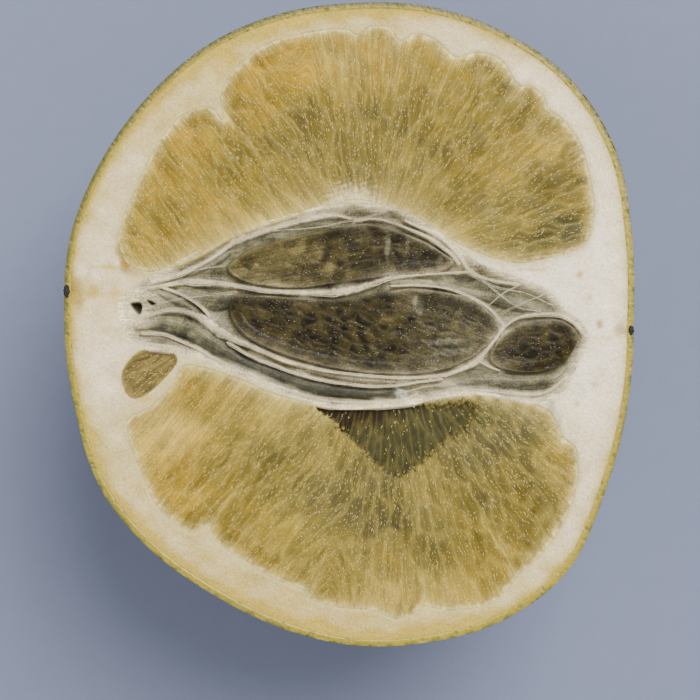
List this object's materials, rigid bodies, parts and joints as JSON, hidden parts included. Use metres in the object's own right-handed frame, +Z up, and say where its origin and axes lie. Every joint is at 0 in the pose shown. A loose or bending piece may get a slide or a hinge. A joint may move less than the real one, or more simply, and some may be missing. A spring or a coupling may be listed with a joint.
{
  "type": "bergamot half",
  "caption": "Half of a green-yellow bergamot, cut lengthwise, lying on its rind with pulp, membranes and open core facing up.",
  "frame": {"origin": "middle of the base, on the small flat spot of the rind that the half rests on", "axes": "+Z up, square out of the level cut face; +X towards the blossom end and -X towards the stem end; +Y across the fruit, its longest extent"},
  "size_m": [0.0673, 0.076, 0.037],
  "materials": {
    "flesh": "satin",
    "rind": "satin",
    "pith": "matte",
    "membrane": "satin",
    "scar": "matte"
  },
  "bodies": {
    "root": {"bergamot_half": "flesh"}
  },
  "joints": []
}
